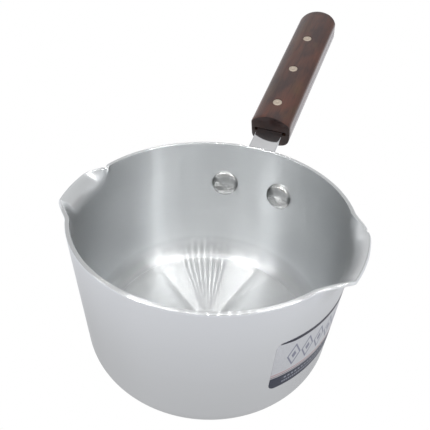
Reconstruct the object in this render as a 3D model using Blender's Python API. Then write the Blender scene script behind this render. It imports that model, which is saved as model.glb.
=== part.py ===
"""A candle melting pot: a small spun aluminium pan with two pouring lips and a riveted wooden handle.

Metres, +Z up. The origin is the centre of the flat base, and the handle points along +X.
The pouring lips lie on either side of it, near +Y and -Y.
"""

from math import atan2, cos, pi, radians, sin, tan

import bmesh
import bpy
from mathutils import Vector

GAP = 0.0003  # left between pieces that touch

# Pan: a leaning wall on a rounded corner. The radii are those of its outer surface.
RIM_RADIUS = 0.0700
WALL_FOOT_RADIUS = 0.0657  # where the wall's line would meet the table
POT_HEIGHT = 0.0866
CORNER_RADIUS = 0.0175
WALL = 0.0021

# Pouring lips: the top band of the wall, curled outwards. Each opens gently and closes at a crease.
# Degrees away from the handle on its own side: starts to open, is open, starts to close, is closed.
LIPS = {1: (82.0, 91.5, 109.5, 123.5), -1: (67.0, 82.0, 106.5, 121.0)}
LIP_BAND = 0.0130
LIP_TURN = radians(54)
LIP_TURN_GAIN = radians(12)  # how much further the lip turns where it starts to close
LIP_CREASE_POWER = 1.2
COLUMN_ANGLE = 4.6  # widest step round the pan

# Rivets through the wall and the bracket
RIVET_AZIMUTHS = {"body_rivet_left": 15.45, "body_rivet_right": -15.45}
RIVET_HEIGHT = 0.0602
RIVET_SHANK = 0.0036
RIVET_HEAD = 0.0082
RIVET_HEAD_EDGE = 0.0014
RIVET_HEAD_THICKNESS = 0.0032
RIVET_HEAD_STANDOFF = 0.00085  # the flat underside clears the hollow wall at its edge
RIVET_TAIL = 0.0058
RIVET_TAIL_THICKNESS = 0.0020
RIVET_FLAT = 0.12  # flat share of the head's radius
RIVET_TAIL_FLAT = 0.7  # flat share of the tail's radius

# Handle: its own frame starts at its near end, on the seam between the two scales.
HANDLE_START = Vector((0.0930, 0.0, 0.0872))
HANDLE_SLOPE = radians(20.5)
HANDLE_LENGTH = 0.1172
HANDLE_HALF_WIDTH = 0.0126
HANDLE_FLARE = 0.0006  # how much wider each side is at the far end
HANDLE_END_ROUND = 0.0065
END_FULLNESS = 2.6  # exponent of the rounded far end
HANDLE_HALF_DEPTH = 0.0118
UPPER_CROWN = 0.0055
LOWER_FULLNESS = 3.3  # exponent of the rounded underside
PIN_STARTS = {"handle_pin_front": 0.0147, "handle_pin_middle": 0.0487, "handle_pin_rear": 0.0827}
PIN_RADIUS = 0.0029
PIN_BEVEL = 0.0003

# Bracket: a T pressed from strip. Its plate hugs the wall and its tang runs into the handle.
STRIP = 0.0020
TANG_LENGTH = 0.0950
TANG_HALF_WIDTH = 0.00835
SLOT_HALF_WIDTH = 0.0102
PLATE_HALF_WIDTH = 0.0260
PLATE_BOTTOM = 0.0510
PLATE_TOP = 0.0682
PLATE_CORNER = 0.0055
NECK_FILLET = 0.0030
NECK_BEND_RADIUS = 0.0050
NECK_FLATTENS_OVER = 0.0075  # height in which the strip goes from wrapped to flat across
TRIM = 0.0010  # sheet that the bracket's outline cuts away

# Label: foil wrapped round the wall
LABEL_AZIMUTHS = (-133.5, -83.0)
LABEL_BOTTOM = 0.0290
LABEL_TOP = 0.0620
LABEL_CORNER = 0.0035
LABEL_THICKNESS = 0.0003

LEAN = atan2(RIM_RADIUS - WALL_FOOT_RADIUS, POT_HEIGHT)
CORNER_CENTRE = WALL_FOOT_RADIUS - CORNER_RADIUS * (1 - sin(LEAN)) / cos(LEAN)


def clear_scene():
    for obj in list(bpy.data.objects):
        bpy.data.objects.remove(obj, do_unlink=True)


def material(name, colour, roughness, metallic):
    made = bpy.data.materials.new(name)
    made.use_nodes = True
    made.diffuse_color = (*colour, 1)
    shader = made.node_tree.nodes["Principled BSDF"]
    shader.inputs["Base Color"].default_value = (*colour, 1)
    shader.inputs["Roughness"].default_value = roughness
    shader.inputs["Metallic"].default_value = metallic
    return made


def mesh_object(name, points, faces, finish=None):
    mesh = bpy.data.meshes.new(name)
    mesh.from_pydata([tuple(point) for point in points], [], faces)
    shape = bmesh.new()
    shape.from_mesh(mesh)
    bmesh.ops.recalc_face_normals(shape, faces=shape.faces)
    shape.to_mesh(mesh)
    shape.free()
    mesh.shade_smooth()
    mesh.set_sharp_from_angle(angle=radians(35))
    obj = bpy.data.objects.new(name, mesh)
    bpy.context.scene.collection.objects.link(obj)
    if finish:
        mesh.materials.append(finish)
    return obj


def tube_of_rings(rings):
    """Points and faces of closed rings joined in order, with a flat cap on the first and the last."""
    count = len(rings[0])
    points = [point for ring in rings for point in ring]
    faces = []
    for row in range(len(rings) - 1):
        for i in range(count):
            j = (i + 1) % count
            low, high = row * count, (row + 1) * count
            faces.append((low + i, low + j, high + j, high + i))
    faces.append(tuple(range(count)))
    faces.append(tuple(range((len(rings) - 1) * count, len(rings) * count)))
    return points, faces


def turned(name, profile, finish=None, segments=32):
    """A piece turned about its own Z axis, from (radius, height) points."""
    rings = [
        [(r * cos(2 * pi * i / segments), r * sin(2 * pi * i / segments), z) for i in range(segments)]
        for r, z in profile
    ]
    return mesh_object(name, *tube_of_rings(rings), finish)


def box(name, along, half_width, heights):
    corners = [(-half_width, heights[0]), (half_width, heights[0])]
    corners += [(half_width, heights[1]), (-half_width, heights[1])]
    rings = [[(x, across, height) for across, height in corners] for x in along]
    return mesh_object(name, *tube_of_rings(rings))


def boolean(target, operation, tool):
    tool.hide_render = True
    tool.display_type = "WIRE"
    modifier = target.modifiers.new(tool.name, "BOOLEAN")
    modifier.operation = operation
    modifier.object = tool


def drill(target, name, radius, reach, place_like):
    """Cuts a round hole on the axis of another piece, reaching the same way on both sides of its origin."""
    drill_bit = turned(name, [(radius, -reach), (radius, reach)])
    drill_bit.matrix_world = place_like.matrix_world
    boolean(target, "DIFFERENCE", drill_bit)


def wall_radius(height):
    return WALL_FOOT_RADIUS + height * tan(LEAN)


def lip_turn(azimuth):
    """How far the wall's top band curls outwards at this azimuth: nothing on the plain rim."""
    azimuth = (azimuth + 180) % 360 - 180
    away = abs(azimuth)
    opens, opened, closes, closed = LIPS[1 if azimuth > 0 else -1]
    opening = min(max((away - opens) / (opened - opens), 0), 1)
    closing = min(max((away - closes) / (closed - closes), 0), 1)
    along = min(max((away - opens) / (closes - opens), 0), 1)
    share = opening * opening * (3 - 2 * opening) * (1 - closing) ** LIP_CREASE_POWER
    return share * (LIP_TURN + LIP_TURN_GAIN * along**2)


def band_point(rise, depth, turn):
    """Radius and height in the band that the lips are curled from, at a distance above its foot."""
    turn = max(turn, 1e-6)
    angle = LEAN + turn * rise / LIP_BAND
    curl = LIP_BAND / turn
    radius = RIM_RADIUS - LIP_BAND * sin(LEAN) + curl * (cos(LEAN) - cos(angle))
    height = POT_HEIGHT - LIP_BAND * cos(LEAN) + curl * (sin(angle) - sin(LEAN))
    return radius - depth * cos(angle), height + depth * sin(angle)


def corner_points(radius):
    """The rounded corner from the flat base up to the wall."""
    angles = [-pi / 2 + (pi / 2 - LEAN) * step / 6 for step in range(7)]
    return [(CORNER_CENTRE + radius * cos(angle), CORNER_RADIUS + radius * sin(angle)) for angle in angles]


def pan_section(azimuth):
    turn = lip_turn(azimuth)
    rises = [LIP_BAND * step / 4 for step in range(5)]
    outside = corner_points(CORNER_RADIUS) + [band_point(rise, 0, turn) for rise in rises]
    inside = corner_points(CORNER_RADIUS - WALL) + [band_point(rise, WALL, turn) for rise in rises]
    return outside + inside[::-1]


def pan_azimuths():
    """Steps round the pan that land where each lip starts and ends its opening and its closing."""
    stops = sorted(side * place for side, places in LIPS.items() for place in places)
    stops.append(stops[0] + 360)
    azimuths = []
    for start, end in zip(stops, stops[1:]):
        steps = max(3, round((end - start) / COLUMN_ANGLE))
        azimuths += [start + (end - start) * step / steps for step in range(steps)]
    return azimuths


def make_pan():
    columns = [
        [(r * cos(radians(azimuth)), r * sin(radians(azimuth)), z) for r, z in pan_section(azimuth)]
        for azimuth in pan_azimuths()
    ]
    finish = material("spun_aluminium", (0.80, 0.81, 0.82), 0.3, 1)
    return mesh_object("pot_body", *tube_of_rings(list(zip(*columns))), finish)


def make_body_rivet(name, azimuth, finish):
    """Mushroom head inside the pan, shank through the wall and bracket, set tail outside."""
    head_foot = -RIVET_HEAD_STANDOFF
    tail_foot = WALL + GAP + STRIP + GAP
    dome = []
    for step in range(1, 6):
        angle = pi / 2 * step / 5
        rise = (RIVET_HEAD_THICKNESS - RIVET_HEAD_EDGE) * (1 - cos(angle))
        dome.append((RIVET_HEAD * sin(angle), head_foot - RIVET_HEAD_THICKNESS + rise))
    profile = [(RIVET_HEAD * RIVET_FLAT, head_foot - RIVET_HEAD_THICKNESS)] + dome
    profile += [(RIVET_HEAD, head_foot), (RIVET_SHANK, head_foot), (RIVET_SHANK, tail_foot)]
    profile += [(RIVET_TAIL, tail_foot), (RIVET_TAIL, tail_foot + RIVET_TAIL_THICKNESS / 2)]
    profile.append((RIVET_TAIL * RIVET_TAIL_FLAT, tail_foot + RIVET_TAIL_THICKNESS))
    rivet = turned(name, profile, finish, segments=28)
    reach = wall_radius(RIVET_HEIGHT) - WALL / cos(LEAN)
    turn = radians(azimuth)
    rivet.location = (reach * cos(turn), reach * sin(turn), RIVET_HEIGHT)
    outward = Vector((cos(LEAN) * cos(turn), cos(LEAN) * sin(turn), -sin(LEAN)))
    rivet.rotation_euler = outward.to_track_quat("Z", "Y").to_euler()
    return rivet


def in_handle_frame(obj):
    obj.location = HANDLE_START
    obj.rotation_euler = (0, -HANDLE_SLOPE, 0)


def handle_rows():
    """(distance from the near end, full half width, half width kept by the rounded far end)"""
    straight = HANDLE_LENGTH - HANDLE_END_ROUND
    places = [(straight * step / 4, 1) for step in range(5)]
    for angle in (15, 32, 48, 62, 74, 83):
        into_round = sin(radians(angle)) ** (2 / END_FULLNESS)
        places.append((straight + HANDLE_END_ROUND * into_round, cos(radians(angle)) ** (2 / END_FULLNESS)))
    rows = []
    for place, kept in places:
        full = HANDLE_HALF_WIDTH + HANDLE_FLARE * place / HANDLE_LENGTH
        rows.append((place, full, full * kept))
    return rows


def upper_height(across):
    return HANDLE_HALF_DEPTH - UPPER_CROWN * across**2


def lower_height(across):
    return -HANDLE_HALF_DEPTH * max(1 - abs(across) ** LOWER_FULLNESS, 0) ** (1 / LOWER_FULLNESS)


def make_scale(name, height, seam, finish):
    """Half of the wooden grip. height gives its outer surface, from -1 to 1 across its width."""
    steps = [sin(radians(angle)) for angle in range(-90, 91, 15)]
    rings = []
    for place, full, kept in handle_rows():
        ring = [(place, -kept, seam)]
        for across in steps:
            top = height(across * kept / full)
            clear_of_seam = max(top, seam + GAP) if seam > 0 else min(top, seam - GAP)
            ring.append((place, across * kept, clear_of_seam))
        ring.append((place, kept, seam))
        rings.append(ring)
    scale = mesh_object(name, *tube_of_rings(rings), finish)
    in_handle_frame(scale)
    return scale


def cut_slot(scale, floor):
    """The recess in a scale that holds its share of the tang, open at the near end."""
    along = (-TRIM, TANG_LENGTH + 2 * GAP)
    slot = box(scale.name + "_slot", along, SLOT_HALF_WIDTH, (-floor, floor))
    in_handle_frame(slot)
    boolean(scale, "DIFFERENCE", slot)


def make_pin(name, start, finish):
    top = HANDLE_HALF_DEPTH - GAP / 2
    edge = PIN_RADIUS - PIN_BEVEL
    profile = [(edge, -top), (PIN_RADIUS, PIN_BEVEL - top), (PIN_RADIUS, top - PIN_BEVEL), (edge, top)]
    pin = turned(name, profile, finish, segments=24)
    along = Vector((cos(HANDLE_SLOPE), 0, sin(HANDLE_SLOPE)))
    pin.location = HANDLE_START + along * start
    pin.rotation_euler = (0, -HANDLE_SLOPE, 0)
    return pin


def rounded_path(corners, radii, steps=5):
    """(radius, height, direction) along straight runs joined by arcs."""
    path = [(*corners[0], atan2(corners[1][1] - corners[0][1], corners[1][0] - corners[0][0]))]
    for before, corner, after, radius in zip(corners, corners[1:], corners[2:], radii):
        came = atan2(corner[1] - before[1], corner[0] - before[0])
        goes = atan2(after[1] - corner[1], after[0] - corner[0])
        run = radius * tan(abs(goes - came) / 2)
        start = (corner[0] - run * cos(came), corner[1] - run * sin(came))
        bend = 1 if goes > came else -1
        for step in range(steps + 1):
            now = came + (goes - came) * step / steps
            place = (
                start[0] + bend * radius * (sin(now) - sin(came)),
                start[1] - bend * radius * (cos(now) - cos(came)),
            )
            path.append((*place, now))
    path.append((*corners[-1], path[-1][2]))
    return path


def strip_path():
    """The strip's middle surface, in the handle's vertical plane: up the wall, then along the handle's line."""
    off_wall = (GAP + STRIP / 2) / cos(LEAN)
    slope = tan(HANDLE_SLOPE)
    neck = HANDLE_START.z - (HANDLE_START.x - WALL_FOOT_RADIUS - off_wall) * slope
    neck /= 1 - tan(LEAN) * slope
    heights = (PLATE_BOTTOM - TRIM, PLATE_TOP, neck)
    foot, plate_top, corner = [(wall_radius(height) + off_wall, height) for height in heights]
    end = (HANDLE_START.x + TANG_LENGTH * cos(HANDLE_SLOPE), HANDLE_START.z + TANG_LENGTH * sin(HANDLE_SLOPE))
    path = rounded_path((foot, corner, end), (NECK_BEND_RADIUS,))
    path.insert(1, (*plate_top, path[0][2]))
    return path


def wrapped(path_point, offset, across, hug):
    """A point of the strip, wrapped round the wall where hug is 1 and flat across where it is 0."""
    reach, height, direction = path_point
    reach += offset * sin(direction)
    height -= offset * cos(direction)
    turn = across / reach
    x = reach - hug * reach * (1 - cos(turn))
    y = (1 - hug) * across + hug * reach * sin(turn)
    return (x, y, height)


def plate_outline():
    """The T as seen from behind, from its foot up one side to the neck: (across, height)."""
    half = []
    quarter = [radians(angle) for angle in range(0, 91, 15)]
    low = PLATE_BOTTOM + PLATE_CORNER
    high = PLATE_TOP - PLATE_CORNER
    side = PLATE_HALF_WIDTH - PLATE_CORNER
    half += [(side + PLATE_CORNER * sin(a), low - PLATE_CORNER * cos(a)) for a in quarter]
    half += [(side + PLATE_CORNER * cos(a), high + PLATE_CORNER * sin(a)) for a in quarter]
    neck = TANG_HALF_WIDTH + NECK_FILLET
    half += [(neck - NECK_FILLET * sin(a), PLATE_TOP + NECK_FILLET * (1 - cos(a))) for a in quarter]
    half.append((TANG_HALF_WIDTH, HANDLE_START.z + HANDLE_LENGTH))
    return half


def make_bracket():
    path = strip_path()
    spread = PLATE_HALF_WIDTH + TRIM
    acrosses = [spread * step / 8 for step in range(-8, 9)]
    rings = []
    for point in path:
        hug = min(max(1 - (point[1] - PLATE_TOP) / NECK_FLATTENS_OVER, 0), 1)
        near = [wrapped(point, -STRIP / 2, across, hug) for across in acrosses]
        far = [wrapped(point, STRIP / 2, across, hug) for across in reversed(acrosses)]
        rings.append(near + far)
    steel = material("steel", (0.62, 0.62, 0.63), 0.25, 1)
    bracket = mesh_object("handle_bracket", *tube_of_rings(rings), steel)
    half = plate_outline()
    outline = half + [(-across, height) for across, height in reversed(half)]
    reaches = (RIM_RADIUS / 2, HANDLE_START.x + HANDLE_LENGTH)
    rings = [[(x, across, height) for across, height in outline] for x in reaches]
    boolean(bracket, "INTERSECT", mesh_object("bracket_outline", *tube_of_rings(rings)))
    return bracket


def make_label():
    middle = radians(sum(LABEL_AZIMUTHS) / 2)
    half_angle = radians(LABEL_AZIMUTHS[1] - LABEL_AZIMUTHS[0]) / 2
    rows = []
    for angle in range(0, 91, 18):
        inset = LABEL_CORNER * (1 - sin(radians(angle)))
        rows.append((LABEL_BOTTOM + LABEL_CORNER * (1 - cos(radians(angle))), inset))
    rows += [(LABEL_BOTTOM + LABEL_TOP - height, inset) for height, inset in reversed(rows)]
    rings = []
    for height, inset in rows:
        inner = wall_radius(height) + GAP / cos(LEAN)
        outer = inner + LABEL_THICKNESS
        half = half_angle - inset / inner
        turns = [middle + half * step / 9 for step in range(-9, 10)]
        near = [(inner * cos(turn), inner * sin(turn), height) for turn in turns]
        far = [(outer * cos(turn), outer * sin(turn), height) for turn in reversed(turns)]
        rings.append(near + far)
    return mesh_object("label", *tube_of_rings(rings), material("foil", (0.70, 0.71, 0.73), 0.35, 0))


def main():
    clear_scene()
    pan = make_pan()
    bracket = make_bracket()
    make_label()

    steel = material("rivet_metal", (0.66, 0.66, 0.66), 0.3, 1)
    for name, azimuth in RIVET_AZIMUTHS.items():
        rivet = make_body_rivet(name, azimuth, steel)
        bpy.context.view_layer.update()
        for target in (pan, bracket):
            drill(target, f"{target.name}_hole_for_{name}", RIVET_SHANK + GAP, RIVET_HEAD, rivet)

    wood = material("dark_wood", (0.12, 0.06, 0.04), 0.35, 0)
    upper = make_scale("handle_scale_upper", upper_height, GAP / 2, wood)
    lower = make_scale("handle_scale_lower", lower_height, -GAP / 2, wood)
    for scale in (upper, lower):
        cut_slot(scale, STRIP / 2 + GAP)
    brass = material("pin_metal", (0.60, 0.50, 0.40), 0.35, 1)
    for name, start in PIN_STARTS.items():
        pin = make_pin(name, start, brass)
        bpy.context.view_layer.update()
        for target in (upper, lower, bracket):
            drill(target, f"{target.name}_hole_for_{name}", PIN_RADIUS + GAP, 2 * HANDLE_HALF_DEPTH, pin)


main()
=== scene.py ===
"""The looks of the candle melting pot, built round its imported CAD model.

Metres, +Z up, in the CAD model's frame: the origin is the centre of the pan's base, the handle points
along +X, and the pouring lips lie near +Y and -Y. Every piece rides on the one body.
"""

from math import atan2, cos, degrees, exp, pi, radians, sin, tan

import bmesh
import bpy
from mathutils import Matrix, Vector


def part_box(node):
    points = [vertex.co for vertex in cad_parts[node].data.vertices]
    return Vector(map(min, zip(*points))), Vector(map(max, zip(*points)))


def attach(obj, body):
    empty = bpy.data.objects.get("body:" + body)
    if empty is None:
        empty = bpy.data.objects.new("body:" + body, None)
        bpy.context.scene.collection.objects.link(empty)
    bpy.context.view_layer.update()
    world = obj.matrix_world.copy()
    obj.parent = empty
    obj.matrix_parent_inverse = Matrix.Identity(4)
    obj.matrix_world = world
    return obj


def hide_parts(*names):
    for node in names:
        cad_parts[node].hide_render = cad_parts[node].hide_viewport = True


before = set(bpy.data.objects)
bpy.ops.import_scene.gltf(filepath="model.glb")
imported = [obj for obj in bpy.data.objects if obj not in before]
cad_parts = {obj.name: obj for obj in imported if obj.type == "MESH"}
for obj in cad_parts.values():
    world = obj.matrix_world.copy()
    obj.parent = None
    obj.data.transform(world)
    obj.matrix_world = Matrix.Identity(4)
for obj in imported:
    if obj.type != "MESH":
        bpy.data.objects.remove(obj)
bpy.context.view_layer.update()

# Pan: a leaning wall on a rounded corner. The radii are those of its outer surface.
RIM_RADIUS = -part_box("pot_body")[0].x  # the plain rim reaches furthest towards -X
WALL_FOOT_RADIUS = RIM_RADIUS - 0.0043  # where the wall's line would meet the table
POT_HEIGHT = 0.0866
CORNER_RADIUS = 0.0175
WALL = 0.0021
RIM_EDGE = 0.0006  # rounding of the rim's two edges
LEAN = atan2(RIM_RADIUS - WALL_FOOT_RADIUS, POT_HEIGHT)
CORNER_CENTRE = WALL_FOOT_RADIUS - CORNER_RADIUS * (1 - sin(LEAN)) / cos(LEAN)
FLOOR_STEPS = 8
FLOOR_EDGE = 0.0006  # a last ring this close to the corner keeps the floor's shading flat
CORNER_STEPS = 28
WALL_STEPS = 12
BAND_STEPS = 14
RIM_ARC = [radians(angle) for angle in (15, 35, 55, 75, 90)]  # rings round each of the rim's two edges
COARSE_TURN = 0.9  # degrees between the pan's columns
FINE_TURN = 0.3  # the same across a lip's corners and a fold

# Pouring lips: the top band of the wall, curled outwards. Each opens gently and closes at a crease.
# Degrees away from the handle on its own side: starts to open, is open, starts to close, is closed.
LIPS = {1: (82.0, 91.5, 109.5, 123.5), -1: (67.0, 82.0, 106.5, 121.0)}
LIP_BAND = 0.0130
LIP_TURN = radians(54)
LIP_TURN_GAIN = radians(12)  # how much further the lip turns where it starts to close
LIP_CREASE_POWER = 1.2
FOLDS = {1: (81.3, 0.0014), -1: (78.0, 0.0007)}  # pinches in the rim: degrees from the handle, depth
FOLD_HALF_ANGLE = 0.85

# Rivets through the wall and the bracket
RIVETS = {"body_rivet_left": 15.45, "body_rivet_right": -15.45}
RIVET_HEIGHT = 0.0602
RIVET_SHANK = 0.0036
RIVET_HEAD = 0.0082
RIVET_HEAD_EDGE = 0.0013
RIVET_HEAD_DOME = 0.0021
RIVET_TAIL = 0.0058
RIVET_TAIL_START = 0.0047  # along the shank, from the wall's inner surface
RIVET_HOLE_ROOM = 0.0001
HAMMERED_DEPTH = 0.00007

# Handle: its own frame starts at its near end, on the seam between the two scales.
HANDLE_START = Vector((0.0930, 0.0, 0.0872))
HANDLE_SLOPE = radians(20.5)
HANDLE_LENGTH = 0.1172
HANDLE_HALF_WIDTH = 0.0126
HANDLE_FLARE = 0.0006  # how much wider each side is at the far end
HANDLE_END_ROUND = 0.0065
HANDLE_CHAMFER = 0.0005
END_FULLNESS = 2.6  # exponent of the rounded far end
END_EASE = 0.0012  # how far the rounded end draws its surfaces in
UPPER_EDGE_ROUND = 0.0012
HANDLE_HALF_DEPTH = 0.0118
UPPER_CROWN = 0.0055
LOWER_FULLNESS = 3.3  # exponent of the rounded underside
SEAM = 0.00015  # half of the hairline between the scales
PINS = {"handle_pin_front": 0.0147, "handle_pin_middle": 0.0487, "handle_pin_rear": 0.0827}
PIN_RADIUS = 0.0029
PIN_CLEARANCE = 0.00012

# Bracket: a T pressed from strip. Its plate hugs the wall and its tang runs into the handle.
GAP = 0.0003
STRIP = 0.0020
STRIP_EDGE = 0.0005  # rounding of the strip's four edges
TANG_LENGTH = 0.0950
TANG_HALF_WIDTH = 0.00835
SLOT_HALF_WIDTH = 0.0102
PLATE_HALF_WIDTH = 0.0260
PLATE_BOTTOM = 0.0510
PLATE_TOP = 0.0682
PLATE_CORNER = 0.0055
NECK_FILLET = 0.0030
NECK_BEND_RADIUS = 0.0050
NECK_FLATTENS_OVER = 0.0075

# Label: printed foil wrapped round the wall
LABEL_AZIMUTHS = (-133.5, -83.0)
LABEL_BOTTOM = 0.0290
LABEL_TOP = 0.0620
LABEL_CORNER = 0.0035
LABEL_THICKNESS = 0.00012
LABEL_OFF_WALL = 0.00001

# Studio, in a frame that faces the camera: X to the camera's right, Y away from it
STUDIO_TURN = radians(-69.1)
LAMP_ROW_DEPTH = -0.150
LAMP_ROW_HEIGHT = 0.450
LAMP_SPACING = 0.032
LAMP_FIRST = -0.096
LAMP_COUNT = 9
LAMP_SIZE = 0.005
LAMP_RADIANCE = 500
# Name, start and end across the row, and radiance
STRIPS = (
    ("strip_far_left", -0.700, -0.290, 48),
    ("strip_left", -0.290, -0.110, 190),
    ("strip_right", 0.175, 0.355, 180),
    ("strip_far_right", 0.355, 0.750, 45),
)
FLOOR_REACH = 6.0

CAMERA_AIM = Vector((0.00037, -0.00098, 0.08205))
CAMERA_DISTANCE = 0.2364
CAMERA_AZIMUTH = radians(-159.1)
CAMERA_ELEVATION = radians(35.56)
CAMERA_ROLL = radians(2.96)
CAMERA_LENS = 40.148


class Nodes:
    """Short calls for wiring one material's or world's nodes."""

    def __init__(self, owner):
        owner.use_nodes = True
        self.tree = owner.node_tree

    def add(self, kind, inputs=(), **settings):
        node = self.tree.nodes.new(kind)
        for name, value in settings.items():
            setattr(node, name, value)
        for key, value in dict(inputs).items():
            self.set(node.inputs[key], value)
        return node

    def set(self, socket, value):
        if isinstance(value, bpy.types.NodeSocket):
            self.tree.links.new(value, socket)
        else:
            socket.default_value = value

    def math(self, operation, *values):
        node = self.add("ShaderNodeMath", enumerate(values), operation=operation)
        return node.outputs[0]

    def length(self, x, y):
        return self.math("SQRT", self.math("ADD", self.math("MULTIPLY", x, x), self.math("MULTIPLY", y, y)))

    def place(self):
        """Object coordinates as three sockets."""
        source = self.add("ShaderNodeTexCoord").outputs["Object"]
        return self.add("ShaderNodeSeparateXYZ", {0: source}).outputs[:]

    def stretch(self, x, y, z, scales):
        """A vector whose parts are multiplied by these scales."""
        parts = [self.math("MULTIPLY", part, scale) for part, scale in zip((x, y, z), scales)]
        return self.add("ShaderNodeCombineXYZ", enumerate(parts)).outputs[0]

    def noise(self, vector, detail=2.0, roughness=0.5):
        inputs = {"Vector": vector, "Scale": 1.0, "Detail": detail, "Roughness": roughness}
        return self.add("ShaderNodeTexNoise", inputs).outputs["Fac"]

    def spread(self, value, low, high, start, end):
        """value from low..high mapped to start..end, and held at both ends."""
        inputs = {"Value": value, 1: low, 2: high, 3: start, 4: end}
        return self.add("ShaderNodeMapRange", inputs, clamp=True).outputs[0]

    def mix(self, share, first, second):
        """The first colour where share is 0, and the second where it is 1."""
        node = self.add("ShaderNodeMix", data_type="RGBA")
        self.set(node.inputs["Factor"], share)
        for key, colour in ((6, first), (7, second)):
            self.set(node.inputs[key], colour if isinstance(colour, bpy.types.NodeSocket) else (*colour, 1))
        return node.outputs[2]

    def within(self, value, low, high, soft):
        """1 where value lies between low and high, with an edge this soft."""
        above = self.spread(value, low - soft, low + soft, 0, 1)
        below = self.spread(value, high - soft, high + soft, 1, 0)
        return self.math("MULTIPLY", above, below)

    def bump(self, height, distance, strength=1.0):
        inputs = {"Height": height, "Distance": distance, "Strength": strength}
        return self.add("ShaderNodeBump", inputs).outputs[0]

    def shader(self, **values):
        """Sets the Principled BSDF's sockets, named with underscores for spaces."""
        principled = self.tree.nodes["Principled BSDF"]
        for name, value in values.items():
            socket = principled.inputs[name.replace("_", " ")]
            self.set(socket, (*value, 1) if isinstance(value, tuple) and len(value) == 3 else value)


def new_material(name):
    made = bpy.data.materials.new(name)
    return made, Nodes(made)


# Materials


def spun_aluminium(name, roughness, anisotropic, blue=0.02, floor_grooves=0.0, wall_grooves=0.0):
    """Bright aluminium with the fine rings of spinning, which smear its reflections across themselves.

    blue tints it. The last two say how much of the floor and of the wall has sharp grooves.
    """
    made, nodes = new_material(name)
    x, y, z = nodes.place()
    ring = nodes.math("ADD", z, nodes.length(x, y))
    fine = nodes.noise(nodes.stretch(x, y, ring, (1.5, 1.5, 1500)), 2.0)
    broad = nodes.noise(nodes.stretch(x, y, ring, (2, 2, 160)), 3.0)
    height = nodes.math("ADD", nodes.math("MULTIPLY", fine, 0.6), nodes.math("MULTIPLY", broad, 0.4))
    tone = nodes.spread(height, 0.35, 0.65, 0, 1)
    tangent = nodes.add("ShaderNodeTangent", direction_type="RADIAL", axis="Z").outputs[0]
    nodes.shader(
        Base_Color=nodes.mix(tone, (0.84, 0.855, 0.855 + blue), (0.86, 0.875, 0.875 + blue)),
        Metallic=1.0,
        Roughness=nodes.spread(fine, 0.3, 0.7, roughness - 0.003, roughness + 0.003),
        Anisotropic=anisotropic,
        Anisotropic_Rotation=0.25,
        Tangent=tangent,
    )
    if floor_grooves:
        grooves = nodes.add(
            "ShaderNodeBsdfAnisotropic",
            {"Color": (0.86, 0.87, 0.87, 1), "Roughness": 0.25, "Anisotropy": 0.935, "Tangent": tangent},
            distribution="MULTI_GGX",
        )
        smooth = nodes.tree.nodes["Principled BSDF"].outputs[0]
        share = nodes.spread(z, 0.004, 0.019, floor_grooves, wall_grooves)
        both = nodes.add("ShaderNodeMixShader", {0: share, 1: smooth, 2: grooves.outputs[0]}).outputs[0]
        nodes.set(nodes.tree.nodes["Material Output"].inputs["Surface"], both)
    return made


def rivet_aluminium():
    made, nodes = new_material("rivet_aluminium")
    x, y, z = nodes.place()
    grain = nodes.noise(nodes.stretch(x, y, z, (900, 900, 900)), 4.0)
    patches = nodes.noise(nodes.stretch(x, y, z, (220, 220, 220)), 2.0)
    tone = nodes.spread(patches, 0.35, 0.65, 0, 1)
    nodes.shader(
        Base_Color=nodes.mix(tone, (0.58, 0.58, 0.57), (0.70, 0.70, 0.69)),
        Metallic=1.0,
        Roughness=nodes.spread(grain, 0.3, 0.7, 0.13, 0.22),
        Normal=nodes.bump(grain, 0.00003, 0.5),
    )
    return made


def polished_steel():
    made, nodes = new_material("polished_steel")
    x, y, z = nodes.place()
    brushed = nodes.noise(nodes.stretch(x, y, z, (60, 2400, 60)), 2.0)
    patches = nodes.noise(nodes.stretch(x, y, z, (90, 90, 90)), 2.0)
    nodes.shader(
        Base_Color=nodes.mix(patches, (0.52, 0.52, 0.53), (0.62, 0.62, 0.63)),
        Metallic=1.0,
        Roughness=nodes.spread(brushed, 0.3, 0.7, 0.05, 0.09),
        Normal=nodes.bump(brushed, 0.00001, 0.3),
    )
    return made


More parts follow.
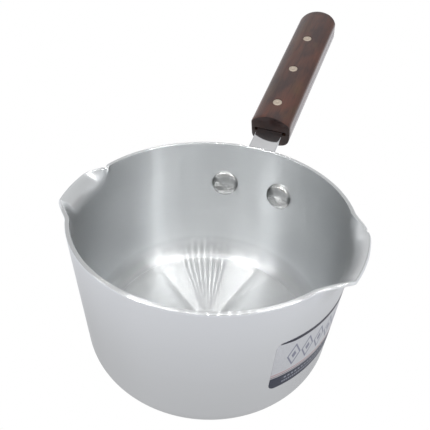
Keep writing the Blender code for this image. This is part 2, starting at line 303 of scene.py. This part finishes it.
def varnished_wood():
    """Dark, mottled hardwood under a gloss varnish, with its grain along the handle and darker ends."""
    made, nodes = new_material("varnished_wood")
    x, y, z = nodes.place()
    waver = nodes.math("MULTIPLY", nodes.noise(nodes.stretch(x, y, z, (28, 60, 60)), 2.0), 0.006)
    across = nodes.math("ADD", y, waver)
    bands = nodes.noise(nodes.stretch(x, across, z, (16, 330, 260)), 4.0, 0.6)
    pores = nodes.noise(nodes.stretch(x, across, z, (90, 2600, 2200)), 2.0, 0.6)
    patches = nodes.noise(nodes.stretch(x, y, z, (42, 110, 90)), 3.0)
    red = nodes.noise(nodes.stretch(nodes.math("ADD", x, 0.31), y, z, (36, 85, 80)), 2.0)
    olive = nodes.noise(nodes.stretch(x, nodes.math("ADD", y, 0.27), z, (48, 95, 80)), 2.0)
    wood = nodes.mix(nodes.spread(patches, 0.38, 0.62, 0, 1), (0.058, 0.024, 0.021), (0.112, 0.042, 0.028))
    wood = nodes.mix(nodes.spread(red, 0.48, 0.68, 0, 0.8), wood, (0.168, 0.052, 0.029))
    wood = nodes.mix(nodes.spread(olive, 0.52, 0.70, 0, 0.7), wood, (0.118, 0.060, 0.028))
    wood = nodes.mix(nodes.spread(bands, 0.45, 0.68, 0, 0.45), wood, (0.040, 0.018, 0.015))
    wood = nodes.mix(nodes.spread(pores, 0.56, 0.72, 0, 0.45), wood, (0.020, 0.010, 0.008))
    end_grain = nodes.spread(x, 0.00015, 0.0004, 0.75, 0)
    far_end = nodes.spread(x, HANDLE_LENGTH - 0.006, HANDLE_LENGTH, 0, 0.6)
    wood = nodes.mix(nodes.math("MAXIMUM", end_grain, far_end), wood, (0.020, 0.011, 0.010))
    nodes.shader(
        Base_Color=wood,
        Roughness=nodes.spread(bands, 0.3, 0.7, 0.38, 0.50),
        Specular_IOR_Level=0.15,
        Coat_Weight=0.8,
        Coat_IOR=1.5,
        Coat_Roughness=0.12,
        Normal=nodes.bump(nodes.math("SUBTRACT", bands, pores), 0.0001, 0.25),
    )
    return made


def pin_metal():
    made, nodes = new_material("pin_metal")
    x, y, z = nodes.place()
    scuffs = nodes.noise(nodes.stretch(x, y, z, (1500, 1500, 1500)), 3.0)
    nodes.shader(
        Base_Color=nodes.mix(scuffs, (0.49, 0.41, 0.34), (0.62, 0.53, 0.44)),
        Metallic=1.0,
        Roughness=nodes.spread(scuffs, 0.3, 0.7, 0.30, 0.42),
        Normal=nodes.bump(scuffs, 0.00003, 0.5),
    )
    return made


def printed_foil():
    """Silver foil with a dark top line, a plain row of lozenges, two thin red lines and a navy band."""
    made, nodes = new_material("printed_foil")
    x, y, z = nodes.place()
    azimuth = nodes.math("MULTIPLY", nodes.math("ARCTAN2", y, x), 180 / pi)
    degrees_per_metre = 1 / radians(1) / RIM_RADIUS
    along = nodes.math("DIVIDE", nodes.math("SUBTRACT", azimuth, LABEL_AZIMUTHS[0]), degrees_per_metre)
    soft = 0.00012
    grain = nodes.noise(nodes.stretch(x, y, z, (1200, 1200, 1200)), 2.0)
    paint = nodes.mix(nodes.spread(grain, 0.3, 0.7, 0, 1), (0.62, 0.63, 0.66), (0.70, 0.71, 0.74))

    # A row of outlined lozenges, each with a filled one in its middle
    row_start, pitch, count, row_height = 0.0065, 0.0085, 6, 0.0500
    cell = nodes.math("MODULO", nodes.math("ADD", along, -row_start), pitch)
    aside = nodes.math("ABSOLUTE", nodes.math("SUBTRACT", cell, pitch / 2))
    rise = nodes.math("MULTIPLY", nodes.math("ABSOLUTE", nodes.math("SUBTRACT", z, row_height)), 0.52)
    far = nodes.math("ADD", aside, rise)
    outline, middle = nodes.within(far, 0.0031, 0.0040, soft), nodes.within(far, -0.001, 0.0014, soft)
    in_row = nodes.within(along, row_start, row_start + count * pitch, soft)
    lozenges = nodes.math("MULTIPLY", nodes.math("ADD", outline, middle), in_row)
    paint = nodes.mix(nodes.math("MULTIPLY", lozenges, 0.85), paint, (0.20, 0.21, 0.30))

    # Two thin lines over a navy band
    for low, ink in ((0.0380, (0.16, 0.035, 0.045)), (0.0394, (0.50, 0.20, 0.21))):
        paint = nodes.mix(nodes.within(z, low, low + 0.0005, soft), paint, ink)
    navy = nodes.within(z, -1, 0.0374, soft)
    paint = nodes.mix(navy, paint, (0.012, 0.018, 0.045))

    # Pale dashes in the navy band
    for dash, low in ((0.0022, 0.0340), (0.0013, 0.0313)):
        phase = nodes.math("MODULO", nodes.math("ADD", along, 0.01), dash)
        dashes = nodes.within(phase, dash * 0.2, dash * 0.8, soft)
        dashes = nodes.math("MULTIPLY", dashes, nodes.within(z, low, low + 0.0011, soft))
        dashes = nodes.math("MULTIPLY", dashes, nodes.within(along, 0.007, 0.052, soft))
        paint = nodes.mix(nodes.math("MULTIPLY", dashes, 0.7), paint, (0.45, 0.47, 0.55))

    # A dark line along the top, which tapers towards the label's left corner
    edge_width = nodes.spread(along, 0.002, 0.009, 0.0006, 0.0017)
    edge = nodes.spread(nodes.math("ADD", z, edge_width), LABEL_TOP - soft, LABEL_TOP + soft, 0, 1)
    paint = nodes.mix(edge, paint, (0.03, 0.03, 0.05))
    nodes.shader(
        Base_Color=paint,
        Metallic=nodes.spread(navy, 0, 1, 0.55, 0.1),
        Roughness=nodes.spread(grain, 0.3, 0.7, 0.30, 0.42),
        Normal=nodes.bump(grain, 0.00002, 0.4),
    )
    return made


# Meshes


def mesh_object(name, points, faces, finish, sharp=radians(38)):
    mesh = bpy.data.meshes.new(name)
    mesh.from_pydata([tuple(point) for point in points], [], faces)
    shape = bmesh.new()
    shape.from_mesh(mesh)
    bmesh.ops.recalc_face_normals(shape, faces=shape.faces)
    shape.to_mesh(mesh)
    shape.free()
    mesh.shade_smooth()
    mesh.set_sharp_from_angle(angle=sharp)
    obj = bpy.data.objects.new(name, mesh)
    bpy.context.scene.collection.objects.link(obj)
    if finish:
        mesh.materials.append(finish)
    return obj


def tube_of_rings(rings, centres=None):
    """Points and faces of closed rings joined in order. Its ends close on centre points or with caps."""
    count = len(rings[0])
    points = [point for ring in rings for point in ring]
    faces = []
    for row in range(len(rings) - 1):
        for i in range(count):
            j = (i + 1) % count
            low, high = row * count, (row + 1) * count
            faces.append((low + i, low + j, high + j, high + i))
    last = (len(rings) - 1) * count
    if centres:
        points += centres
        first_centre = len(points) - 2
        faces += [(first_centre, (i + 1) % count, i) for i in range(count)]
        faces += [(first_centre + 1, last + i, last + (i + 1) % count) for i in range(count)]
    else:
        faces.append(tuple(range(count))[::-1])
        faces.append(tuple(range(last, last + count)))
    return points, faces


def turned(name, profile, finish=None, segments=72):
    """A piece turned about its own Z axis, from (radius, height) points."""
    rings = [
        [(r * cos(2 * pi * i / segments), r * sin(2 * pi * i / segments), z) for i in range(segments)]
        for r, z in profile
    ]
    return mesh_object(name, *tube_of_rings(rings), finish)


def arc(centre, radius, start, end, steps):
    """Points of an arc, its angles in degrees."""
    angles = [radians(start + (end - start) * step / steps) for step in range(steps + 1)]
    return [(centre[0] + radius * cos(angle), centre[1] + radius * sin(angle)) for angle in angles]


def boolean(target, operation, tools):
    """Applies exact Booleans and removes the tools."""
    for tool in tools:
        modifier = target.modifiers.new(tool.name, "BOOLEAN")
        modifier.operation = operation
        modifier.object = tool
    graph = bpy.context.evaluated_depsgraph_get()
    mesh = bpy.data.meshes.new_from_object(target.evaluated_get(graph))
    target.modifiers.clear()
    old = target.data
    target.data = mesh
    bpy.data.meshes.remove(old)
    for tool in tools:
        bpy.data.objects.remove(tool, do_unlink=True)
    mesh.shade_smooth()
    mesh.set_sharp_from_angle(angle=radians(38))


def finish_piece(obj, node):
    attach(obj, "root")
    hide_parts(node)
    return obj


# Pan


def wall_radius(height):
    return WALL_FOOT_RADIUS + height * tan(LEAN)


def lip_turn(azimuth):
    """How far the wall's top band curls outwards at this azimuth: nothing on the plain rim."""
    azimuth = (azimuth + 180) % 360 - 180
    away = abs(azimuth)
    opens, opened, closes, closed = LIPS[1 if azimuth > 0 else -1]
    opening = min(max((away - opens) / (opened - opens), 0), 1)
    closing = min(max((away - closes) / (closed - closes), 0), 1)
    along = min(max((away - opens) / (closes - opens), 0), 1)
    share = opening * opening * (3 - 2 * opening) * (1 - closing) ** LIP_CREASE_POWER
    return share * (LIP_TURN + LIP_TURN_GAIN * along**2)


def fold_at(azimuth):
    """How deep the pinch in the rim is at this azimuth."""
    azimuth = (azimuth + 180) % 360 - 180
    middle, depth = FOLDS[1 if azimuth > 0 else -1]
    beyond = (abs(azimuth) - middle) / FOLD_HALF_ANGLE
    return depth * exp(-beyond * beyond)


def band_point(rise, depth, turn, fold=0.0):
    """Radius and height in the band that the lips are curled from, at a distance above its foot."""
    turn = max(turn, 1e-6)
    angle = LEAN + turn * rise / LIP_BAND
    curl = LIP_BAND / turn
    radius = RIM_RADIUS - LIP_BAND * sin(LEAN) + curl * (cos(LEAN) - cos(angle))
    height = POT_HEIGHT - LIP_BAND * cos(LEAN) + curl * (sin(angle) - sin(LEAN))
    pinch = fold * max(rise / LIP_BAND, 0) ** 5
    return radius - depth * cos(angle) - pinch, height + depth * sin(angle) - pinch


def below_band(depth):
    """One surface of the floor, the corner and the plain wall, at this depth into the metal."""
    points = [(CORNER_CENTRE * step / FLOOR_STEPS, depth) for step in range(1, FLOOR_STEPS)]
    points.append((CORNER_CENTRE - FLOOR_EDGE, depth))
    points += arc((CORNER_CENTRE, CORNER_RADIUS), CORNER_RADIUS - depth, -90, -degrees(LEAN), CORNER_STEPS)
    low, high = points[-1], band_point(0, depth, 0)
    for step in range(1, WALL_STEPS):
        climb = step / WALL_STEPS
        points.append((low[0] + (high[0] - low[0]) * climb, low[1] + (high[1] - low[1]) * climb))
    return points


def pan_section(azimuth):
    """The wall's section from the underside's centre, over the rim, to the middle of the floor."""
    turn, fold = lip_turn(azimuth), fold_at(azimuth)
    straight = LIP_BAND - RIM_EDGE
    sides = []
    for depth, inward in ((0, 1), (WALL, -1)):
        band = [(straight * step / BAND_STEPS, depth) for step in range(BAND_STEPS + 1)]
        for angle in RIM_ARC:
            band.append((straight + RIM_EDGE * sin(angle), depth + inward * RIM_EDGE * (1 - cos(angle))))
        sides.append(below_band(depth) + [band_point(rise, into, turn, fold) for rise, into in band])
    outside, inside = sides
    return outside + inside[::-1]


def pan_azimuths():
    """Steps round the pan, close together across each lip's corners and each fold."""
    stops = sorted(side * place for side, places in LIPS.items() for place in places)
    stops.append(stops[0] + 360)
    azimuths = []
    for start, end in zip(stops, stops[1:]):
        steps = round((end - start) / (FINE_TURN if end - start < 16 else COARSE_TURN))
        azimuths += [start + (end - start) * step / steps for step in range(steps)]
    return azimuths


def make_pan():
    columns = [
        [(r * cos(radians(azimuth)), r * sin(radians(azimuth)), z) for r, z in pan_section(azimuth)]
        for azimuth in pan_azimuths()
    ]
    centres = [(0, 0, 0), (0, 0, WALL)]
    rings = list(zip(*columns))
    outside = spun_aluminium("spun_aluminium_outside", 0.20, 1.0)
    rim = spun_aluminium("spun_aluminium_rim", 0.18, 1.0, 0.01, 0.38, 0.38)
    inside = spun_aluminium("spun_aluminium_inside", 0.28, 0.8, 0.009, 0.8, 0.06)
    pan = mesh_object("pan", *tube_of_rings(rings, centres), outside, sharp=radians(50))
    pan.data.materials.append(rim)
    pan.data.materials.append(inside)
    rim_starts = len(rings) // 2 - len(RIM_ARC)
    rim_ends = len(rings) // 2 + len(RIM_ARC) - 1
    underside_middle = len(rings) - 1
    for face in pan.data.polygons:
        row = face.index // len(columns)
        if row >= rim_ends and row != underside_middle:
            face.material_index = 2
        elif rim_starts <= row < rim_ends:
            face.material_index = 1
    return pan


def centre_texture_space(pan):
    """Puts the middle of the texture space on the pan's axis, which its radial tangents turn about."""
    pan.data.use_auto_texspace = False
    pan.data.texspace_location = (0, 0, POT_HEIGHT / 2)
    pan.data.texspace_size = (0.08, 0.08, 0.08)


def rivet_matrix(azimuth):
    """At the wall's inner surface, with Z pointing out of the pan and Y up the wall."""
    turn = radians(azimuth)
    reach = wall_radius(RIVET_HEIGHT) - WALL / cos(LEAN)
    outward = Vector((cos(LEAN) * cos(turn), cos(LEAN) * sin(turn), -sin(LEAN)))
    across = Vector((-sin(turn), cos(turn), 0))
    up = outward.cross(across)
    turned_axes = Matrix((across, up, outward)).transposed().to_4x4()
    return Matrix.Translation((reach * cos(turn), reach * sin(turn), RIVET_HEIGHT)) @ turned_axes


def rivet_profile():
    """(radius, height, how hammered) from the head's crown, along the shank, to the tail."""
    profile = []
    for step in range(1, 15):
        angle = pi / 2 * step / 14
        crown = RIVET_HEAD_EDGE + RIVET_HEAD_DOME * cos(angle)
        profile.append((RIVET_HEAD * 0.96 * sin(angle), -crown, 1.0))
    profile.append((RIVET_HEAD * 0.995, 0.0004 - RIVET_HEAD_EDGE, 0.4))
    profile += [(RIVET_HEAD, -RIVET_HEAD_EDGE * 0.45, 0), (RIVET_HEAD * 0.985, 0, 0)]
    profile += [(RIVET_SHANK, 0, 0), (RIVET_SHANK, 0.0040, 0), (RIVET_SHANK, RIVET_TAIL_START, 0)]
    tail = ((0.97, 0), (1, 0.0003), (1, 0.0010), (0.9, 0.0016), (0.7, 0.0019), (0.35, 0.0020))
    profile += [(RIVET_TAIL * share, RIVET_TAIL_START + height, 0) for share, height in tail]
    return profile


def make_rivet(name, azimuth, finish):
    """A mushroom head inside the pan, a shank through the wall, and a hammered tail outside."""
    inner_radius = wall_radius(RIVET_HEIGHT) - WALL
    segments = 72
    rings = []
    for radius, height, hammered in rivet_profile():
        ring = []
        for i in range(segments):
            turn = 2 * pi * i / segments
            x, y = radius * cos(turn), radius * sin(turn)
            dent = sin(520 * x + azimuth) * sin(610 * y + 2 * azimuth)
            dent += 0.6 * sin(900 * x - 700 * y + azimuth)
            z = height + HAMMERED_DEPTH * hammered * dent
            if height <= 0:  # the head follows the wall's curve
                z -= x * x / (2 * inner_radius) * (1 if hammered == 0 else 0.7)
            ring.append((x, y, z))
        rings.append(ring)
    rivet = mesh_object(name, *tube_of_rings(rings), finish)
    rivet.matrix_world = rivet_matrix(azimuth)
    return rivet


def drill_for_rivets(target):
    bits = []
    for azimuth in RIVETS.values():
        radius = RIVET_SHANK + RIVET_HOLE_ROOM
        bit = turned("bit", [(radius, -0.006), (radius, 0.009)])
        bit.matrix_world = rivet_matrix(azimuth)
        bits.append(bit)
    bpy.context.view_layer.update()
    boolean(target, "DIFFERENCE", bits)


# Bracket


def rounded_path(corners, radii, steps):
    """(radius, height, direction) along straight runs joined by arcs."""
    path = [(*corners[0], atan2(corners[1][1] - corners[0][1], corners[1][0] - corners[0][0]))]
    for before, corner, after, radius in zip(corners, corners[1:], corners[2:], radii):
        came = atan2(corner[1] - before[1], corner[0] - before[0])
        goes = atan2(after[1] - corner[1], after[0] - corner[0])
        run = radius * tan(abs(goes - came) / 2)
        start = (corner[0] - run * cos(came), corner[1] - run * sin(came))
        bend = 1 if goes > came else -1
        for step in range(steps + 1):
            now = came + (goes - came) * step / steps
            place = (
                start[0] + bend * radius * (sin(now) - sin(came)),
                start[1] - bend * radius * (cos(now) - cos(came)),
            )
            path.append((*place, now))
    path.append((*corners[-1], path[-1][2]))
    return path


def strip_path():
    """The strip's middle surface in the handle's vertical plane: up the wall, then along the handle."""
    off_wall = (GAP + STRIP / 2) / cos(LEAN)
    slope = tan(HANDLE_SLOPE)
    neck = HANDLE_START.z - (HANDLE_START.x - WALL_FOOT_RADIUS - off_wall) * slope
    neck /= 1 - tan(LEAN) * slope
    foot, corner = [(wall_radius(height) + off_wall, height) for height in (PLATE_BOTTOM, neck)]
    end = (HANDLE_START.x + TANG_LENGTH * cos(HANDLE_SLOPE), HANDLE_START.z + TANG_LENGTH * sin(HANDLE_SLOPE))
    return rounded_path((foot, corner, end), (NECK_BEND_RADIUS,), 12)


def wrapped(path_point, offset, across):
    """A point of the strip, wrapped round the wall at the plate and flat across above it."""
    reach, height, direction = path_point
    hug = min(max(1 - (height - PLATE_TOP) / NECK_FLATTENS_OVER, 0), 1)
    reach += offset * sin(direction)
    height -= offset * cos(direction)
    turn = across / reach
    x = reach - hug * reach * (1 - cos(turn))
    y = (1 - hug) * across + hug * reach * sin(turn)
    return (x, y, height)


def half_widths():
    """(height, half width) of the T from its foot to the top of the neck's fillets."""
    side = PLATE_HALF_WIDTH - PLATE_CORNER
    rows = [(h, w) for w, h in arc((side, PLATE_BOTTOM + PLATE_CORNER), PLATE_CORNER, -90, 0, 10)]
    rows += [(h, w) for w, h in arc((side, PLATE_TOP - PLATE_CORNER), PLATE_CORNER, 0, 90, 10)]
    neck = TANG_HALF_WIDTH + NECK_FILLET
    shoulder = 0.00004  # keeps the two rings of the flat shoulder apart
    rows += [(h + shoulder, w) for w, h in arc((neck, PLATE_TOP + NECK_FILLET), NECK_FILLET, -90, -180, 8)]
    return rows


def strip_section(half_width):
    """(across, offset) round the strip, whose edges are rounded."""
    flat, deep = half_width - STRIP_EDGE, STRIP / 2
    section = [(flat * step / 14, -deep) for step in range(-14, 15)]
    section += arc((flat, STRIP_EDGE - deep), STRIP_EDGE, -90, 0, 4)[1:]
    section += arc((flat, deep - STRIP_EDGE), STRIP_EDGE, 0, 90, 4)
    section += [(-flat * step / 14, deep) for step in range(-13, 15)]
    section += arc((-flat, deep - STRIP_EDGE), STRIP_EDGE, 90, 180, 4)[1:]
    section += arc((-flat, STRIP_EDGE - deep), STRIP_EDGE, 180, 270, 4)[:-1]
    return section


def make_bracket():
    path = strip_path()
    foot, wall_end = path[:2]
    stations = []
    for height, half_width in half_widths():
        climb = (height - foot[1]) / (wall_end[1] - foot[1])
        stations.append(((foot[0] + (wall_end[0] - foot[0]) * climb, height, foot[2]), half_width))
    above = [point for point in path if point[1] > PLATE_TOP + NECK_FILLET + 0.0001]
    stations += [(point, TANG_HALF_WIDTH) for point in above[:-1]]
    last, end = above[-2:]
    for step in range(1, 9):
        share = step / 8
        place = (last[0] + (end[0] - last[0]) * share, last[1] + (end[1] - last[1]) * share, end[2])
        stations.append((place, TANG_HALF_WIDTH))
    rings = [
        [wrapped(point, offset, across) for across, offset in strip_section(half_width)]
        for point, half_width in stations
    ]
    return mesh_object("bracket", *tube_of_rings(rings), polished_steel())


# Handle


def in_handle_frame(obj):
    obj.matrix_world = Matrix.Translation(HANDLE_START) @ Matrix.Rotation(-HANDLE_SLOPE, 4, "Y")


def handle_rows():
    """(distance from the near end, full half width, half width here, how far the surfaces are drawn in)"""
    straight = HANDLE_LENGTH - HANDLE_END_ROUND
    places = [(0, HANDLE_CHAMFER), (HANDLE_CHAMFER * 0.3, HANDLE_CHAMFER * 0.4), (HANDLE_CHAMFER, 0)]
    places += [(straight * step / 36, 0) for step in range(1, 37)]
    rows = []
    for place, drawn in places:
        full = HANDLE_HALF_WIDTH + HANDLE_FLARE * place / HANDLE_LENGTH
        rows.append((place, full, full - drawn, drawn))
    for angle in range(2, 88, 5):
        rise, narrow = sin(radians(angle)), cos(radians(angle))
        place = straight + HANDLE_END_ROUND * rise ** (2 / END_FULLNESS)
        full = HANDLE_HALF_WIDTH + HANDLE_FLARE * place / HANDLE_LENGTH
        rows.append((place, full, full * narrow ** (2 / END_FULLNESS), END_EASE * (1 - narrow) ** 2))
    return rows


def upper_height(across):
    return HANDLE_HALF_DEPTH - UPPER_CROWN * across**2


def lower_height(across):
    return -HANDLE_HALF_DEPTH * max(1 - abs(across) ** LOWER_FULLNESS, 0) ** (1 / LOWER_FULLNESS)


def make_scale(name, height, seam, round_edge, finish):
    """Half of the wooden grip. height gives its outer surface, from -1 to 1 across its width."""
    side = 1 if seam > 0 else -1
    rings = []
    for place, full, kept, drawn in handle_rows():
        ring = [(place, -kept, seam), (place, -kept, seam + side * 0.0004)]
        steps = [sin(radians(angle)) for angle in range(-90, 91, 4)]
        for across in steps:
            at = across * kept
            top = height(across * kept / full) - side * drawn
            inward = max(abs(at) - (kept - round_edge), 0)
            top -= side * (round_edge - (max(round_edge**2 - inward**2, 0)) ** 0.5) if round_edge else 0
            least = seam + side * 0.0006
            ring.append((place, at, max(top, least) if side > 0 else min(top, least)))
        ring += [(place, kept, seam + side * 0.0004), (place, kept, seam)]
        rings.append(ring)
    scale = mesh_object(name, *tube_of_rings(rings), finish)
    in_handle_frame(scale)
    return scale


def cut_scale(scale, floor):
    """The recess that holds the tang, open at the near end, and the holes for the pins."""
    half = SLOT_HALF_WIDTH
    section = [(-half, -floor), (half, -floor), (half, floor), (-half, floor)]
    rings = [[(x, across, height) for across, height in section] for x in (-0.001, TANG_LENGTH + 2 * GAP)]
    tools = [mesh_object("slot", *tube_of_rings(rings), None)]
    in_handle_frame(tools[0])
    for start in PINS.values():
        reach = 2 * HANDLE_HALF_DEPTH
        bit = turned("bit", [(PIN_RADIUS + PIN_CLEARANCE, -reach), (PIN_RADIUS + PIN_CLEARANCE, reach)])
        bit.matrix_world = pin_matrix(start)
        tools.append(bit)
    bpy.context.view_layer.update()
    boolean(scale, "DIFFERENCE", tools)


def pin_matrix(start):
    turned_axes = Matrix.Rotation(-HANDLE_SLOPE, 4, "Y")
    along = Vector((cos(HANDLE_SLOPE), 0, sin(HANDLE_SLOPE)))
    return Matrix.Translation(HANDLE_START + along * start) @ turned_axes


def make_pin(name, start, finish):
    """A pin set flush in the grip, filed flat with the wood and dimpled at each end."""
    top = HANDLE_HALF_DEPTH - 0.00008
    half = [(0.00035, top - 0.00022), (0.0006, top - 0.00012), (0.0009, top - 0.00002), (0.0016, top)]
    half += [(PIN_RADIUS - 0.0003, top - 0.00004), (PIN_RADIUS - 0.0001, top - 0.00012)]
    half.append((PIN_RADIUS, top - 0.0003))
    profile = half + [(r, -z) for r, z in reversed(half)]
    pin = turned(name, profile[::-1], finish, segments=48)
    pin.matrix_world = pin_matrix(start)
    return pin


# Label


def make_label():
    """Thin foil on the wall, with rounded corners."""
    middle = radians(sum(LABEL_AZIMUTHS) / 2)
    half_angle = radians(LABEL_AZIMUTHS[1] - LABEL_AZIMUTHS[0]) / 2
    rows = []
    for angle in range(0, 91, 9):
        inset = LABEL_CORNER * (1 - sin(radians(angle)))
        rows.append((LABEL_BOTTOM + LABEL_CORNER * (1 - cos(radians(angle))), inset))
    upper_rows = [(LABEL_BOTTOM + LABEL_TOP - height, inset) for height, inset in rows[::-1]]
    straight = LABEL_TOP - LABEL_BOTTOM - 2 * LABEL_CORNER
    rows += [(LABEL_BOTTOM + LABEL_CORNER + straight * step / 8, 0) for step in range(1, 8)]
    rows += upper_rows
    rings = []
    for height, inset in rows:
        inner = wall_radius(height) + LABEL_OFF_WALL
        outer = inner + LABEL_THICKNESS
        half = half_angle - inset / inner
        turns = [middle + half * step / 40 for step in range(-40, 41)]
        near = [(inner * cos(turn), inner * sin(turn), height) for turn in turns]
        far = [(outer * cos(turn), outer * sin(turn), height) for turn in reversed(turns)]
        rings.append(near + far)
    return mesh_object("printed_label", *tube_of_rings(rings), printed_foil())


# Stage


def in_studio(x, y, z):
    """A point of the studio's frame in the object's frame."""
    return Matrix.Rotation(STUDIO_TURN, 3, "Z") @ Vector((x, y, z))


def area_light(name, place, aim, size, radiance, unlit):
    """A rectangular light of this radiance, kept off the pieces in unlit. Its first side lies level."""
    data = bpy.data.lights.new(name, "AREA")
    data.shape = "RECTANGLE"
    data.size, data.size_y = size
    data.energy = radiance * pi * size[0] * size[1]
    light = bpy.data.objects.new(name, data)
    bpy.context.scene.collection.objects.link(light)
    place, aim = in_studio(*place), in_studio(*aim)
    back = (place - aim).normalized()
    right = (in_studio(1, 0, 0) - back * in_studio(1, 0, 0).dot(back)).normalized()
    up = back.cross(right)
    light.matrix_world = Matrix.Translation(place) @ Matrix((right, up, back)).transposed().to_4x4()
    light.visible_camera = False
    light.light_linking.receiver_collection = unlit
    return light


def add_lights(grips):
    """The row of lamps over the pan. They are flagged off the wooden grip, whose varnish would glare."""
    unlit = bpy.data.collections.new("flagged_from_lamps")
    for grip in grips:
        unlit.objects.link(grip)
    for linked in unlit.collection_objects:
        linked.light_linking.link_state = "EXCLUDE"
    for i in range(LAMP_COUNT):
        place = (LAMP_FIRST + LAMP_SPACING * i, LAMP_ROW_DEPTH, LAMP_ROW_HEIGHT)
        aim = (place[0] * 0.3, 0, 0.04)
        area_light(f"lamp_{i}", place, aim, (LAMP_SIZE, LAMP_SIZE), LAMP_RADIANCE, unlit)
    for name, start, end, radiance in STRIPS:
        place = ((start + end) / 2, LAMP_ROW_DEPTH, LAMP_ROW_HEIGHT)
        area_light(name, place, (0, 0, 0.04), (end - start, LAMP_SIZE), radiance, unlit)


def add_floor():
    """A white floor. The glow that the metal reflects from it is dimmed close to the pan, a painted shadow of
    the pan.
    """
    mesh = bpy.data.meshes.new("floor")
    corners = [(x * FLOOR_REACH, y * FLOOR_REACH, 0) for x, y in ((-1, -1), (1, -1), (1, 1), (-1, 1))]
    mesh.from_pydata(corners, [], [(0, 1, 2, 3)])
    floor = bpy.data.objects.new("floor", mesh)
    bpy.context.scene.collection.objects.link(floor)
    made, nodes = new_material("pale_floor")
    x, y, _ = nodes.place()
    # Painted shadow: the glow is about half as bright near the pan and rises to full by 0.26 m, where the pan
    # would no longer shade the floor.
    away = nodes.spread(nodes.length(x, y), 0.085, 0.26, 0, 1)
    glow_with_painted_shadow = nodes.mix(away, (0.53, 0.53, 0.535), (1.0, 1.014, 1.06))
    seen = nodes.add("ShaderNodeLightPath").outputs["Is Camera Ray"]
    lit = nodes.add("ShaderNodeEmission", {"Color": nodes.mix(seen, glow_with_painted_shadow, (1.0, 1.0, 1.0))}).outputs[0]
    nodes.set(nodes.tree.nodes["Material Output"].inputs["Surface"], lit)
    mesh.materials.append(made)


def add_world():
    """A white surround, which the metal reflects as pale walls, darker in front, under a soft ceiling."""
    world = bpy.data.worlds.new("studio")
    bpy.context.scene.world = world
    nodes = Nodes(world)
    direction = nodes.add("ShaderNodeTexCoord").outputs["Generated"]
    x, y, z = nodes.add("ShaderNodeSeparateXYZ", {0: direction}).outputs[:]
    towards_front = nodes.math("ADD", nodes.math("MULTIPLY", x, -0.934), nodes.math("MULTIPLY", y, -0.357))
    walls = nodes.mix(nodes.spread(towards_front, 0.2, 0.95, 0, 1), (1.25, 1.26, 1.28), (0.50, 0.505, 0.51))
    from_back = nodes.spread(towards_front, -0.8, -0.4, 0, 1)
    low_ceiling = nodes.mix(from_back, (0.65, 0.655, 0.66), (0.55, 0.555, 0.56))
    ceiling = nodes.mix(nodes.spread(z, 0.62, 0.95, 0, 1), low_ceiling, (0.98, 0.985, 0.99))
    sky = nodes.mix(nodes.spread(z, 0.0, 0.3, 0, 1), walls, ceiling)
    seen = nodes.add("ShaderNodeLightPath").outputs["Is Camera Ray"]
    background = nodes.tree.nodes["Background"]
    nodes.set(background.inputs["Color"], nodes.mix(seen, sky, (1.0, 1.0, 1.0)))
    background.inputs["Strength"].default_value = 1.0


def add_camera():
    flat = cos(CAMERA_ELEVATION)
    back = Vector((flat * cos(CAMERA_AZIMUTH), flat * sin(CAMERA_AZIMUTH), sin(CAMERA_ELEVATION)))
    right = Vector((0, 0, 1)).cross(back).normalized()
    up = back.cross(right)
    turn, tilt = cos(CAMERA_ROLL), sin(CAMERA_ROLL)
    axes = (turn * right + tilt * up, turn * up - tilt * right, back)
    data = bpy.data.cameras.new("camera")
    data.lens = CAMERA_LENS
    data.sensor_width = 36
    data.clip_start = 0.01
    camera = bpy.data.objects.new("camera", data)
    bpy.context.scene.collection.objects.link(camera)
    place = Matrix.Translation(CAMERA_AIM + back * CAMERA_DISTANCE)
    camera.matrix_world = place @ Matrix(axes).transposed().to_4x4()
    bpy.context.scene.camera = camera


def main():
    pan = make_pan()
    drill_for_rivets(pan)
    centre_texture_space(pan)
    finish_piece(pan, "pot_body")

    bracket = make_bracket()
    drill_for_rivets(bracket)
    finish_piece(bracket, "handle_bracket")

    rivet_finish = rivet_aluminium()
    for node, azimuth in RIVETS.items():
        finish_piece(make_rivet("set_" + node, azimuth, rivet_finish), node)

    wood = varnished_wood()
    upper = make_scale("grip_upper", upper_height, SEAM, UPPER_EDGE_ROUND, wood)
    lower = make_scale("grip_lower", lower_height, -SEAM, 0, wood)
    for scale, node in ((upper, "handle_scale_upper"), (lower, "handle_scale_lower")):
        cut_scale(scale, STRIP / 2 + GAP)
        finish_piece(scale, node)

    pin_finish = pin_metal()
    for node, start in PINS.items():
        finish_piece(make_pin("set_" + node, start, pin_finish), node)

    finish_piece(make_label(), "label")

    add_floor()
    add_world()
    add_lights((upper, lower))
    add_camera()
    bpy.context.scene.view_settings.view_transform = "Standard"


main()
